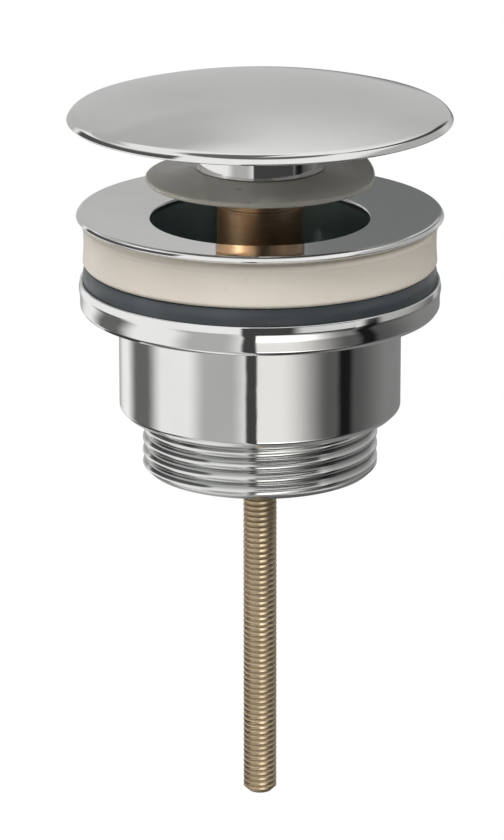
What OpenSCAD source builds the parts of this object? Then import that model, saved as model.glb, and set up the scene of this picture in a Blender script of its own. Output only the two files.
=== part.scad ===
// Pop-up basin waste. A domed plug stands open on a push-to-latch cartridge over a
// dished strainer flange. A threaded rod hangs from the cartridge and draws the outlet
// body, with its gasket, up under the basin.
// Millimetres. The origin is the centre of the flange's rim seat, +Z up, plug open.

/* [Plug] */
// Diameter of the domed cap across its bevelled edge
cap_d = 68.2; // [64:0.1:76]
// Width of the bevel round the cap's edge
cap_bevel = 0.95; // [0.4:0.05:1.5]
// Height of the cap's edge
cap_edge_h = 1.45; // [1:0.05:2.5]
// Rise of the dome above the edge
cap_dome_h = 5.05; // [3.5:0.05:8]
// Thickness of the domed wall
cap_wall = 2.6; // [2:0.1:3.2]
// Height of the boss between the seal and the cap
boss_h = 8.55; // [7:0.05:12]
// Step from the seal's neck out to the boss
boss_step = 1.9; // [1:0.1:3]
// Wall of the hollow neck that carries the seal
neck_wall = 1.5; // [1:0.1:2.5]

/* [Plug seal] */
// How far the lip reaches past the drain's bore
lip_reach = 0.8; // [0.4:0.1:1.5]
// How far the lip hangs below the boss
lip_drop = 2.5; // [1.5:0.1:4]
// Height of the lip's outer edge
lip_edge_h = 0.9; // [0.5:0.1:1.5]
// Thickness of the seal where it is clamped
seal_t = 2.2; // [1.4:0.1:3]
// Height of the ring nut that clamps the seal
ring_nut_h = 1.2; // [0.8:0.1:2]
// Width of the ring nut's wall
ring_nut_w = 1.4; // [1:0.1:2.2]

/* [Cartridge] */
// Travel of the plug from open to closed
stroke = 6.4; // [4:0.1:8]
// Diameter of the plunger stem
stem_d = 6; // [5:0.1:8]
// Diameter of the cross pin that drives the cam sleeve
pin_d = 1.6; // [1.2:0.1:2]
// Wall of the slotted guide skirt
skirt_wall = 1.04; // [0.8:0.02:1.6]
// Depth of the zigzag track in the cam sleeve
track_depth = 1.3; // [1:0.05:1.6]
// Zigzags round the cam sleeve
track_count = 4; // [3:1:5]
// Wall of the cam sleeve behind its track
sleeve_back = 0.74; // [0.5:0.02:1.2]
// Solid land above and below the track
sleeve_land = 0.6; // [0.4:0.1:1.5]
// Wall of the cartridge barrel
barrel_wall = 1.2; // [0.8:0.1:2]
// Height of the barrel's top above the flange seat
barrel_proud = 2.6; // [1.5:0.1:4]
// Height of the guide bush's rim
bush_rim_h = 1.3; // [0.8:0.1:2]
// Depth of the guide bush's plug in the barrel
bush_plug_h = 3.2; // [2.6:0.1:5]
// Thickness of the barrel's base, which the rod screws into
barrel_base_h = 4.6; // [3:0.1:8]
// Step of the foot round the barrel's base
foot_step = 1; // [0.5:0.1:2]
// Height of the foot round the barrel's base
foot_h = 2; // [1:0.1:3]
// Section of the O-ring round the stem
o_ring_d = 1.3; // [1:0.05:1.6]
// Wire of the return spring
spring_wire = 0.7; // [0.4:0.05:0.9]
// Coils of the return spring
spring_coils = 6; // [4:1:8]

/* [Strainer flange] */
// Diameter of the flange
flange_d = 65; // [62:0.5:75]
// Height of the flange's edge
flange_edge_h = 1.4; // [1:0.1:2.5]
// Fall of the dished face from the edge to the bore
flange_dish = 1.45; // [0.5:0.05:2.5]
// Radius of the flange's rounded upper edge
flange_round = 0.5; // [0.2:0.1:0.9]
// Fall of the flange's underside from its seat to the tail
under_fall = 1.6; // [1:0.1:3]
// Diameter of the drain's bore
bore_d = 38.8; // [34:0.2:42]
// Radius of the lead-in round the bore
bore_round = 0.8; // [0.3:0.1:1.2]
// Wall of the tail tube
tail_wall = 2.2; // [1.5:0.1:3]
// Arms of the spider, here and in the outlet body
arm_count = 4; // [3:1:6]
// Width of a spider arm
arm_w = 3; // [2:0.1:5]
// Depth of the spider
spider_h = 4; // [3:0.1:7]
// Step from a hub's face to its arms
arm_step = 0.4; // [0.2:0.1:1]
// Height of the tail's skirt below the spider
tail_skirt = 0.4; // [0.2:0.1:3]

/* [Seals under the flange] */
// Height of the upper seal at its outer edge
upper_seal_h = 8.1; // [5:0.1:12]
// Step from the flange's edge in to the upper seal
upper_seal_inset = 1.1; // [0.6:0.1:3]
// Height of gasket that shows above the collar
gasket_show = 3.05; // [2:0.05:5]
// Width of the gasket's bevel
gasket_bevel = 0.5; // [0.2:0.1:1]

/* [Outlet body] */
// Step from the flange's edge in to the collar's lip
collar_inset = 0.4; // [0:0.1:3]
// Height of the collar
collar_h = 5.25; // [4:0.05:8]
// Wall of the lip that holds the gasket
lip_wall = 0.7; // [0.5:0.1:1.5]
// Depth of the gasket's recess
recess_h = 1.1; // [0.6:0.1:2]
// Wall of the body
body_wall = 2.65; // [1.8:0.05:4]
// Thickness of the body below the bridge's arms
body_floor_h = 3.7; // [2:0.1:5]
// Outer diameter of the outlet's pipe thread, inch and a quarter
outlet_d = 41.91; // [38:0.01:42]
// Wall of the outlet
outlet_wall = 3; // [2:0.1:5]
// Length of the outlet below the body's shoulder
outlet_h = 10.7; // [8:0.1:20]
// Chamfer on the outlet's end and the body's shoulder
body_chamfer = 1; // [0.4:0.1:1.5]
// Depth of the bridge's arms
bridge_h = 4.6; // [3:0.1:7]
// Wall of the bridge's tapped boss
boss_wall = 2.5; // [1.8:0.1:4]
// Length of the bridge's tapped boss
boss_len = 10; // [6:0.5:14]

/* [Rod] */
// Thread diameter of the rod
rod_d = 6; // [5:0.1:8]
// Length of the rod below the outlet's end
rod_reach = 62.4; // [20:0.1:90]
// Chamfer on the rod's end
rod_chamfer = 1; // [0.4:0.1:1.5]
// Thickness of the thrust washer under the cartridge
washer_t = 0.8; // [0.5:0.1:2]
// Thickness of the push-on washer that keeps the rod in the flange
retainer_t = 0.7; // [0.4:0.1:1]
// Width of the push-on washer's ring
retainer_w = 2.6; // [1.5:0.1:4]

/* [Fits] */
// Radial clearance of shafts that turn or slide in their holes
run_clear = 0.06; // [0.03:0.01:0.1]
// Clearance of pieces that are screwed or seated together
seat_clear = 0.05; // [0.02:0.01:0.1]
// End play of pieces that turn between two shoulders
end_play = 0.1; // [0.05:0.05:0.3]
// Clearance of the pin in its track and slots
track_clear = 0.15; // [0.1:0.05:0.3]
// Radial clearance of the cam sleeve in the barrel
sleeve_clear = 0.2; // [0.1:0.05:0.4]
// Clearance of the plug's hollow neck round the barrel
neck_clear = 0.5; // [0.3:0.1:1]
// Clearance left under the plug's seal when closed
seat_gap = 0.25; // [0.15:0.05:0.5]
// Clearance of the outlet body's bore round the tail
tail_clear = 0.8; // [0.4:0.1:1.5]
// Gap between the retainer and the bridge with the body drawn right up
bridge_gap = 0.3; // [0.2:0.1:2]

/* [Hidden] */
$fn = 96;

// Colours
chrome = [0.78, 0.78, 0.77];
brass = [0.72, 0.53, 0.27];
zinc_gold = [0.72, 0.64, 0.5];
silicone = [0.45, 0.44, 0.41];
milky = [0.82, 0.79, 0.71];
rubber = [0.2, 0.22, 0.24];
acetal = [0.88, 0.88, 0.85];
spring_steel = [0.6, 0.61, 0.62];

// Reach past a face that a cut goes through, and of a rib into the wall that carries it
through = 1;
// Steps of a rounded edge, of one leg of the track, and of the spring's wire
round_steps = 6;
leg_steps = 6;
wire_sides = 8;
coil_steps = 20;

// Radii, from the stem outwards
stem_r = stem_d / 2;
pin_r = pin_d / 2;
rod_r = rod_d / 2;
guide_r = stem_r + run_clear;
skirt_r = guide_r + skirt_wall;
sleeve_in_r = skirt_r + run_clear;
track_r = sleeve_in_r + track_depth;
sleeve_r = track_r + sleeve_back;
barrel_in_r = sleeve_r + sleeve_clear;
barrel_r = barrel_in_r + barrel_wall;
foot_r = barrel_r + foot_step;
hub_r = foot_r + seat_clear;
neck_in_r = barrel_r + neck_clear;
neck_r = neck_in_r + neck_wall;
boss_r = neck_r + boss_step;
ring_nut_r = neck_r + ring_nut_w;
cap_r = cap_d / 2;
dome_edge_r = cap_r - cap_bevel;
bore_r = bore_d / 2;
lip_r = bore_r + lip_reach;
flange_r = flange_d / 2;
tail_r = bore_r + tail_wall;
upper_seal_r = flange_r - upper_seal_inset;
collar_r = flange_r - collar_inset;
gasket_r = collar_r - lip_wall - seat_clear;
body_in_r = tail_r + tail_clear;
body_r = body_in_r + body_wall;
outlet_r = outlet_d / 2;
outlet_in_r = outlet_r - outlet_wall;
rod_hole_r = rod_r + run_clear;
bridge_boss_r = rod_r + boss_wall;
retainer_r = rod_r + retainer_w;

// Heights of the cartridge, from its top down
bush_top_z = barrel_proud + bush_rim_h;
bush_plug_z = barrel_proud - bush_plug_h;
sleeve_top_z = bush_plug_z - end_play;
leg_angle = 180 / track_count;
leg_slope = atan(stroke / (sleeve_in_r * leg_angle * PI / 180));
track_half = (pin_r + track_clear) / cos(leg_slope);
pin_z = sleeve_top_z - sleeve_land - track_half;
sleeve_bottom_z = pin_z - stroke - track_half - sleeve_land;
ledge_z = sleeve_bottom_z - end_play;
stem_bottom_z = pin_z - pin_d - track_clear;
spring_solid_h = (spring_coils + 1) * spring_wire;
floor_z = min(ledge_z - spring_wire, stem_bottom_z - stroke - spring_solid_h);
skirt_bottom_z = max(ledge_z - spring_wire, floor_z) + end_play;
barrel_bottom_z = floor_z - barrel_base_h;
rod_top_z = floor_z - through;

// Heights of the flange and of what hangs under it
face_in_z = flange_edge_h - flange_dish;
hub_top_z = barrel_bottom_z - washer_t;
hub_bottom_z = hub_top_z - spider_h;
tail_bottom_z = hub_bottom_z - tail_skirt;
retainer_top_z = hub_bottom_z - end_play;
bridge_top_z = min(retainer_top_z - retainer_t, tail_bottom_z) - bridge_gap;
bridge_bottom_z = bridge_top_z - bridge_h;
body_bottom_z = bridge_bottom_z - body_floor_h;
outlet_bottom_z = body_bottom_z - outlet_h;
rod_bottom_z = outlet_bottom_z - rod_reach;
collar_top_z = -upper_seal_h - gasket_show;
recess_z = collar_top_z - recess_h;
collar_bottom_z = collar_top_z - collar_h;

// Heights of the plug, which stands one stroke above its seat
lip_z = face_z(lip_r) + seat_gap + stroke;
boss_z = lip_z + lip_drop;
ring_nut_top_z = boss_z - seal_t - seat_clear;
ring_nut_z = ring_nut_top_z - ring_nut_h;
cap_z = boss_z + boss_h;
cap_edge_z = cap_z + cap_edge_h;
neck_roof_z = bush_top_z + stroke + neck_clear;
stem_top_z = cap_z - seat_clear;
dome_r = (pow(dome_edge_r, 2) + pow(cap_dome_h, 2)) / (2 * cap_dome_h);
dome_centre_z = cap_edge_z + cap_dome_h - dome_r;

// Height of the flange's dished face at a radius
function face_z(r) = face_in_z + flange_dish * (r - bore_r) / (flange_r - bore_r);

// Height of the flange's underside at a radius
function under_z(r) = -under_fall * (upper_seal_r - r) / (upper_seal_r - tail_r);

// Points of an arc from one angle to another
function arc(centre, r, from, to) =
    [for (i = [0 : round_steps]) let (a = from + (to - from) * i / round_steps)
        centre + r * [cos(a), sin(a)]];

// Solid of revolution of an outline of radius and height
module turned(outline) {
    rotate_extrude() polygon(outline);
}

// Ring with square edges between two heights
module ring(outer, inner, top, bottom) {
    turned([[inner, bottom], [outer, bottom], [outer, top], [inner, top]]);
}

// Arms from inside a hub out to a radius, on the diagonals between the X and Y axes
module arms(hub, reach, top, bottom) {
    start = hub - through;
    for (i = [0 : arm_count - 1])
        rotate((i + 0.5) * 360 / arm_count)
            translate([start, -arm_w / 2, bottom]) cube([reach - start, arm_w, top - bottom]);
}

// Hole along the axis between two heights
module axial_hole(r, top, bottom) {
    translate([0, 0, bottom]) cylinder(r = r, h = top - bottom);
}

module plug_cap() {
    color(chrome) difference() {
        rotate_extrude() difference() {
            union() {
                intersection() {
                    translate([0, dome_centre_z]) circle(dome_r, $fn = 720);
                    translate([0, cap_edge_z - seat_clear]) square([dome_edge_r, cap_dome_h + cap_edge_h]);
                }
                polygon([[0, cap_z], [cap_r, cap_z], [dome_edge_r, cap_edge_z], [0, cap_edge_z]]);
                translate([0, boss_z]) square([boss_r, boss_h + through]);
                translate([0, ring_nut_z]) square([neck_r, boss_z - ring_nut_z + through]);
            }
            difference() {
                intersection() {
                    translate([0, dome_centre_z]) circle(dome_r - cap_wall, $fn = 720);
                    translate([0, cap_z - through]) square([cap_r, cap_dome_h + cap_edge_h]);
                }
                square([boss_r, 2 * cap_z]);
            }
            square([neck_in_r, neck_roof_z]);
        }
        axial_hole(neck_in_r, neck_roof_z, ring_nut_z - through);
        axial_hole(stem_r + seat_clear, stem_top_z + seat_clear, neck_roof_z - through);
    }
}

module plug_seal() {
    lip_top = [lip_r, lip_z + lip_edge_h];
    clamp_bottom_z = boss_z - seal_t;
    color(silicone) turned([
        [neck_r + seat_clear, clamp_bottom_z],
        [ring_nut_r, clamp_bottom_z],
        [lip_r - lip_edge_h, lip_z],
        [lip_r, lip_z],
        lip_top,
        [boss_r, boss_z - seat_clear],
        [neck_r + seat_clear, boss_z - seat_clear]]);
}

module seal_ring_nut() {
    edge = ring_nut_h / 4;
    color(brass) turned([
        [neck_r + seat_clear, ring_nut_z],
        [ring_nut_r - edge, ring_nut_z],
        [ring_nut_r, ring_nut_z + edge],
        [ring_nut_r, ring_nut_top_z],
        [neck_r + seat_clear, ring_nut_top_z]]);
}

module plunger_stem() {
    edge = stem_r / 6;
    color(brass) difference() {
        turned([
            [0, stem_bottom_z],
            [stem_r - edge, stem_bottom_z],
            [stem_r, stem_bottom_z + edge],
            [stem_r, stem_top_z - edge],
            [stem_r - edge, stem_top_z],
            [0, stem_top_z]]);
        translate([-stem_d, 0, pin_z]) rotate([0, 90, 0]) cylinder(r = pin_r + seat_clear, h = 2 * stem_d);
    }
}

module cross_pin() {
    half = track_r - track_clear;
    color(spring_steel) translate([-half, 0, pin_z]) rotate([0, 90, 0]) cylinder(r = pin_r, h = 2 * half);
}

// Height of the track's middle at an angle: straight legs between the open and closed stations
function track_z(angle) =
    let (leg = abs(angle / leg_angle - 2 * round(angle / leg_angle / 2))) pin_z - stroke * leg;

// The zigzag band that the pin sweeps, as a closed ring cut out of the sleeve's bore
module track_band() {
    steps = 2 * track_count * leg_steps;
    inner = sleeve_in_r - skirt_wall / 2;
    corners = [[inner, -track_half], [track_r, -track_half], [track_r, track_half], [inner, track_half]];
    points = [for (i = [0 : steps - 1]) let (a = 360 * i / steps) for (c = corners)
        [c[0] * cos(a), c[0] * sin(a), track_z(a) + c[1]]];
    faces = [for (i = [0 : steps - 1]) let (j = (i + 1) % steps) for (k = [0 : 3]) let (m = (k + 1) % 4)
        each [[4 * i + k, 4 * i + m, 4 * j + m], [4 * i + k, 4 * j + m, 4 * j + k]]];
    polyhedron(points, faces);
}

module cam_sleeve() {
    color(acetal) difference() {
        ring(sleeve_r, sleeve_in_r, sleeve_top_z, sleeve_bottom_z);
        track_band();
    }
}

module guide_bush() {
    groove_top_z = bush_top_z - bush_rim_h / 2;
    groove_bottom_z = groove_top_z - o_ring_d - 2 * seat_clear;
    plug_r = barrel_in_r - seat_clear;
    edge = bush_rim_h / 4;
    slot_w = pin_d + 2 * track_clear;
    spanner_w = bush_rim_h;
    color(brass) difference() {
        turned([
            [guide_r, skirt_bottom_z],
            [skirt_r, skirt_bottom_z],
            [skirt_r, bush_plug_z],
            [plug_r, bush_plug_z],
            [plug_r, barrel_proud],
            [barrel_r, barrel_proud],
            [barrel_r, bush_top_z - edge],
            [barrel_r - edge, bush_top_z],
            [guide_r, bush_top_z]]);
        ring(guide_r + o_ring_d + seat_clear, guide_r - skirt_wall, groove_top_z, groove_bottom_z);
        translate([-skirt_r - through, -slot_w / 2, pin_z - stroke])
            cube([2 * (skirt_r + through), slot_w, stroke]);
        for (z = [pin_z, pin_z - stroke])
            translate([-skirt_r - through, 0, z])
                rotate([0, 90, 0]) cylinder(r = slot_w / 2, h = 2 * (skirt_r + through));
        for (side = [0, 180])
            rotate(side) translate([barrel_in_r, -spanner_w / 2, bush_top_z - bush_rim_h / 2])
                cube([barrel_wall + through, spanner_w, bush_rim_h]);
    }
}

module stem_o_ring() {
    centre_z = bush_top_z - bush_rim_h / 2 - seat_clear - o_ring_d / 2;
    color(rubber) rotate_extrude() translate([guide_r + o_ring_d / 2, centre_z]) circle(o_ring_d / 2, $fn = 32);
}

// Height along the spring at a coil: closed coils at both ends, open coils between them
function spring_z(coil, low, high) =
    let (pitch = (high - low - 2 * spring_wire) / (spring_coils - 2))
    coil < 1 ? low + spring_wire * coil
    : coil > spring_coils - 1 ? high - spring_wire * (spring_coils - coil)
    : low + spring_wire + pitch * (coil - 1);

module return_spring() {
    wire_r = spring_wire / 2;
    coil_r = stem_r - wire_r - track_clear;
    low = floor_z + seat_clear + wire_r;
    high = stem_bottom_z - seat_clear - wire_r;
    rings = spring_coils * coil_steps;
    points = [for (i = [0 : rings]) let (turn = 360 * i / coil_steps) for (k = [0 : wire_sides - 1])
        let (a = 360 * k / wire_sides, r = coil_r + wire_r * cos(a))
        [r * cos(turn), r * sin(turn), spring_z(i / coil_steps, low, high) + wire_r * sin(a)]];
    sides = [for (i = [0 : rings - 1], k = [0 : wire_sides - 1])
        let (m = (k + 1) % wire_sides, p = i * wire_sides, q = p + wire_sides)
        each [[p + k, p + m, q + m], [p + k, q + m, q + k]]];
    ends = [[for (k = [0 : wire_sides - 1]) wire_sides - 1 - k],
        [for (k = [0 : wire_sides - 1]) rings * wire_sides + k]];
    color(spring_steel) polyhedron(points, concat(sides, ends));
}

module cartridge_barrel() {
    edge = foot_h / 5;
    color(brass) difference() {
        turned([
            [0, barrel_bottom_z],
            [foot_r - edge, barrel_bottom_z],
            [foot_r, barrel_bottom_z + edge],
            [foot_r, barrel_bottom_z + foot_h],
            [barrel_r, barrel_bottom_z + foot_h + foot_step],
            [barrel_r, barrel_proud - seat_clear],
            [0, barrel_proud - seat_clear]]);
        axial_hole(barrel_in_r, barrel_proud + through, ledge_z);
        axial_hole(skirt_r + sleeve_clear, ledge_z + through, floor_z);
        axial_hole(rod_r + seat_clear, rod_top_z + seat_clear, barrel_bottom_z - through);
    }
}

module thrust_washer() {
    color(acetal) ring(foot_r, rod_hole_r, barrel_bottom_z, hub_top_z);
}

module threaded_rod() {
    color(zinc_gold) turned([
        [0, rod_bottom_z],
        [rod_r - rod_chamfer, rod_bottom_z],
        [rod_r, rod_bottom_z + rod_chamfer],
        [rod_r, rod_top_z - rod_chamfer],
        [rod_r - rod_chamfer, rod_top_z],
        [0, rod_top_z]]);
}

module rod_retainer() {
    dish = retainer_t / 2;
    color(spring_steel) turned([
        [rod_r + seat_clear, retainer_top_z - retainer_t],
        [rod_r + retainer_w / 2, retainer_top_z - retainer_t],
        [retainer_r, retainer_top_z - dish],
        [retainer_r, retainer_top_z],
        [rod_r + retainer_w / 2, retainer_top_z],
        [rod_r + seat_clear, retainer_top_z - retainer_t + dish]]);
}

module strainer_flange() {
    edge = flange_round / 2;
    shoulder = [flange_r - flange_round, face_z(flange_r - flange_round) - flange_round];
    throat = [bore_r + bore_round, face_z(bore_r + bore_round) - bore_round];
    color(chrome) difference() {
        union() {
            turned(concat(
                [[tail_r, tail_bottom_z], [tail_r, under_z(tail_r)], [upper_seal_r, 0],
                 [flange_r - edge, 0], [flange_r, edge]],
                arc(shoulder, flange_round, 0, 90),
                arc(throat, bore_round, 90, 180),
                [[bore_r, tail_bottom_z]]));
            arms(hub_r, bore_r + tail_wall / 2, hub_top_z - arm_step, hub_bottom_z + arm_step);
            axial_hole(hub_r, hub_top_z, hub_bottom_z);
        }
        axial_hole(rod_hole_r, hub_top_z + through, hub_bottom_z - through);
    }
}

module upper_seal() {
    inner = tail_r + seat_clear;
    edge = upper_seal_inset / 2;
    color(milky) turned([
        [inner, -upper_seal_h],
        [upper_seal_r - edge, -upper_seal_h],
        [upper_seal_r, edge - upper_seal_h],
        [upper_seal_r, -seat_clear],
        [inner, under_z(inner) - seat_clear]]);
}

module lower_gasket() {
    color(rubber) turned([
        [body_in_r, recess_z],
        [gasket_r, recess_z],
        [gasket_r, collar_top_z + gasket_show / 2],
        [gasket_r - gasket_bevel, -upper_seal_h],
        [body_in_r, -upper_seal_h]]);
}

module body_shell() {
    collar_edge = lip_wall;
    lip_edge = lip_wall / 3;
    turned([
        [0, outlet_bottom_z],
        [outlet_r - body_chamfer, outlet_bottom_z],
        [outlet_r, outlet_bottom_z + body_chamfer],
        [outlet_r, body_bottom_z],
        [body_r - body_chamfer, body_bottom_z],
        [body_r, body_bottom_z + body_chamfer],
        [body_r, collar_bottom_z],
        [collar_r - collar_edge, collar_bottom_z],
        [collar_r - lip_edge, collar_bottom_z + collar_edge],
        [collar_r - lip_edge, recess_z],
        [collar_r, recess_z + lip_edge],
        [collar_r, collar_top_z - lip_edge],
        [collar_r - lip_edge, collar_top_z],
        [0, collar_top_z]]);
}

module lower_body() {
    color(chrome) difference() {
        union() {
            difference() {
                body_shell();
                axial_hole(collar_r - lip_wall, collar_top_z + through, recess_z);
                turned([
                    [0, outlet_bottom_z - through],
                    [outlet_in_r, outlet_bottom_z - through],
                    [outlet_in_r, body_bottom_z],
                    [body_in_r, body_bottom_z + body_in_r - outlet_in_r],
                    [body_in_r, recess_z + through],
                    [0, recess_z + through]]);
            }
            intersection() {
                body_shell();
                union() {
                    arms(bridge_boss_r, body_in_r + body_wall / 2, bridge_top_z - arm_step, bridge_bottom_z);
                    axial_hole(bridge_boss_r, bridge_top_z, bridge_top_z - boss_len);
                }
            }
        }
        axial_hole(rod_hole_r, bridge_top_z + through, bridge_top_z - boss_len - through);
    }
}

plug_cap();
plug_seal();
seal_ring_nut();
plunger_stem();
cross_pin();
cam_sleeve();
guide_bush();
stem_o_ring();
return_spring();
cartridge_barrel();
thrust_washer();
threaded_rod();
rod_retainer();
strainer_flange();
upper_seal();
lower_gasket();
lower_body();
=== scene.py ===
"""Dressed model of a pop-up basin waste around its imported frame.

Sizes in the classes are millimetres in the part's frame: the origin is the centre of the
flange's rim seat on the axis, +Z is up through the domed plug, and the plug stands open.
"""
import logging
import math
from dataclasses import dataclass
from enum import Enum

import bmesh
import bpy
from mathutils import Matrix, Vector


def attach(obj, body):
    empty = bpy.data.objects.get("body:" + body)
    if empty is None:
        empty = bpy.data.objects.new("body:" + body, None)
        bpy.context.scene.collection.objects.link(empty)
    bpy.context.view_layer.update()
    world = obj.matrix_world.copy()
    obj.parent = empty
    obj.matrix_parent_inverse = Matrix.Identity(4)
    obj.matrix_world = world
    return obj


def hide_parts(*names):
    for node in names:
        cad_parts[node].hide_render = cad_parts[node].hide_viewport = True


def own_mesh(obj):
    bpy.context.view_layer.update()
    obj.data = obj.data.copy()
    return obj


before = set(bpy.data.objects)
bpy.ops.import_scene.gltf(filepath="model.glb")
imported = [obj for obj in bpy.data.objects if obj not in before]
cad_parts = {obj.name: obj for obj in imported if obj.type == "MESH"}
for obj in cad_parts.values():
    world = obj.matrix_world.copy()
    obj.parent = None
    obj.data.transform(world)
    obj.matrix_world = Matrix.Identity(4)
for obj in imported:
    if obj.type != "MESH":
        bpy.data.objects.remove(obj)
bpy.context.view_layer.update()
LOG = logging.getLogger("basin_waste")
IMAGE_HEIGHT_PX = 840
WHITE = (1.0, 1.0, 1.0)
FACE_WEIGHT = 80
# Metres
MM = 0.001
TRACE_MERGE = 1e-7
SPIN_MERGE = 1e-6
# Millimetres
SLOPE_STEP = 0.01
CREST_REACH = 0.01
THREAD_MARGIN = 0.02
ARM_WIDTH = 3.0
ARM_SOFT = 0.4
# Names of types
Colour = tuple[float, float, float]
Place = tuple[float, float, float]
Span = tuple[float, float]
Socket = bpy.types.NodeSocket
Sockets = dict[str, Socket]
Piece = bpy.types.Object


class Slot(str, Enum):
    """Material slots of the record."""

    CHROME = "chrome_plate"
    BRASS = "bare_brass"
    ROD = "rod_brass"
    SILICONE = "grey_silicone"
    MILKY = "milky_seal"
    RUBBER = "black_rubber"
    ACETAL = "acetal"
    STEEL = "spring_steel"


class Body(str, Enum):
    """Bodies of the frame that new pieces ride on."""

    FLANGE = "flange"
    CARTRIDGE = "cartridge"
    PLUG = "plug"
    OUTLET = "outlet"


# Modelling bench


@dataclass(frozen=True)
class Corner:
    """Corner of a turned outline: radius, height, and how far its edge is rounded off."""

    r: float
    z: float
    soft: float = 0.0

    def place(self) -> Vector:
        """Place of the corner in the XZ plane, in metres."""
        return Vector((self.r * MM, 0.0, self.z * MM))


@dataclass(frozen=True)
class Thread:
    """Right-handed helical groove in a turned surface, which fades out over a run at each end."""

    crest_r: float
    low: float
    high: float
    pitch: float
    depth: float
    groove: float
    run_low: float
    run_high: float

    def sink(self, x: float, y: float, z: float) -> float:
        """How far the surface sinks at a place.

        Args:
            x: place along X, in millimetres.
            y: place along Y, in millimetres.
            z: height, in millimetres.

        Returns:
            Depth below the crest, in millimetres.
        """
        turn = math.atan2(y, x) / math.tau
        phase = (z / self.pitch - turn) % 1.0
        off = abs(phase - 0.5) * self.pitch / (self.groove / 2)
        if off >= 1.0:
            return 0.0
        wall = 0.5 + 0.5 * math.cos(math.pi * off)
        start = min(1.0, max(0.0, (z - self.low) / self.run_low))
        end = min(1.0, max(0.0, (self.high - z) / self.run_high))
        return self.depth * wall * start * end

    def normal(self, x: float, y: float, z: float) -> Vector:
        """Outward normal of the threaded surface at a place.

        Args:
            x: place along X, in millimetres.
            y: place along Y, in millimetres.
            z: height, in millimetres.

        Returns:
            The normal, of length one.
        """
        r = math.hypot(x, y)
        step = SLOPE_STEP
        rise = (self.sink(x, y, z + step) - self.sink(x, y, z - step)) / (2 * step)
        dx, dy = -y / r * step, x / r * step
        drift = (self.sink(x + dx, y + dy, z) - self.sink(x - dx, y - dy, z)) / (2 * step)
        return Vector((x / r - drift * y / r, y / r + drift * x / r, rise)).normalized()


def clear_selection() -> None:
    """Leaves object mode with nothing selected."""
    if bpy.context.object and bpy.context.object.mode != "OBJECT":
        bpy.ops.object.mode_set(mode="OBJECT")
    bpy.ops.object.select_all(action="DESELECT")


def pick(obj: Piece) -> None:
    """Makes one object the only selected and active one.

    Args:
        obj: the object.
    """
    clear_selection()
    obj.select_set(True)
    bpy.context.view_layer.objects.active = obj


def arc_corners(radius: float, centre_z: float, start: float, end: float, count: int) -> list[Corner]:
    """Corners along a domed arc about a centre on the axis.

    Args:
        radius: radius of the dome.
        centre_z: height of the dome's centre.
        start: radius from the axis at which the arc starts.
        end: radius from the axis at which it ends.
        count: number of steps.

    Returns:
        The corners from start to end.
    """
    first, last = math.asin(start / radius), math.asin(end / radius)
    angles = [first + (last - first) * i / count for i in range(count + 1)]
    return [Corner(radius * math.sin(a), centre_z + radius * math.cos(a)) for a in angles]


class Lathe:
    """Bench for round pieces: an outline is traced, its corners softened, then spun about Z."""

    def __init__(self, name: str, outline: list[Corner], steps: int = 192, rounds: int = 4) -> None:
        """Traces the outline and softens its corners.

        Args:
            name: name of the piece.
            outline: corners in order; closed into a ring unless it starts on the axis.
            steps: divisions of the full turn.
            rounds: segments of a softened corner.
        """
        self.steps = steps
        clear_selection()
        bpy.ops.mesh.primitive_plane_add(size=MM)
        self.obj = bpy.context.object
        self.obj.name = self.obj.data.name = name
        bpy.ops.object.mode_set(mode="EDIT")
        bpy.ops.mesh.merge(type="CENTER")
        bpy.ops.transform.translate(value=outline[0].place())
        chain = outline if outline[0].r == 0 else outline + outline[:1]
        for here, there in zip(chain, chain[1:]):
            step = there.place() - here.place()
            bpy.ops.mesh.extrude_region_move(TRANSFORM_OT_translate={"value": step})
        bpy.ops.mesh.select_all(action="SELECT")
        bpy.ops.mesh.remove_doubles(threshold=TRACE_MERGE)
        for corner in outline:
            if corner.soft > 0:
                self._select_nearest(corner)
                bpy.ops.mesh.bevel(offset_type="OFFSET", offset=corner.soft * MM, segments=rounds,
                                   profile=0.5, affect="VERTICES")

    def _select_nearest(self, corner: Corner) -> None:
        """Selects the traced vertex at a corner.

        Args:
            corner: the corner.
        """
        bpy.ops.mesh.select_all(action="DESELECT")
        mesh = bmesh.from_edit_mesh(self.obj.data)
        place = corner.place()
        min(mesh.verts, key=lambda v: (v.co - place).length).select = True
        mesh.select_flush_mode()
        bmesh.update_edit_mesh(self.obj.data)

    def divide(self, low: Corner, high: Corner, *parts: int) -> "Lathe":
        """Cuts the straight run between two corners into short lengths.

        Args:
            low: one end of the run.
            high: the other end.
            parts: number of lengths that each pass cuts every length into.

        Returns:
            The bench itself.
        """
        bpy.ops.mesh.select_all(action="DESELECT")
        mesh = bmesh.from_edit_mesh(self.obj.data)
        middle = (low.place() + high.place()) / 2
        along = (high.place() - low.place()).normalized()
        run = min(mesh.edges, key=lambda e: ((e.verts[0].co + e.verts[1].co) / 2 - middle).length
                  - abs((e.verts[1].co - e.verts[0].co).dot(along)))
        run.select_set(True)
        bmesh.update_edit_mesh(self.obj.data)
        for part in parts:
            bpy.ops.mesh.subdivide(number_cuts=part - 1)
        return self

    def spin(self) -> Piece:
        """Spins the outline into a closed piece with outward faces.

        Returns:
            The piece, in object mode.
        """
        bpy.ops.mesh.select_all(action="SELECT")
        bpy.ops.mesh.spin(steps=self.steps, angle=math.tau, center=(0, 0, 0), axis=(0, 0, 1))
        bpy.ops.mesh.select_all(action="SELECT")
        bpy.ops.mesh.remove_doubles(threshold=SPIN_MERGE)
        bpy.ops.mesh.normals_make_consistent(inside=False)
        bpy.ops.object.mode_set(mode="OBJECT")
        return self.obj


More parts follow.
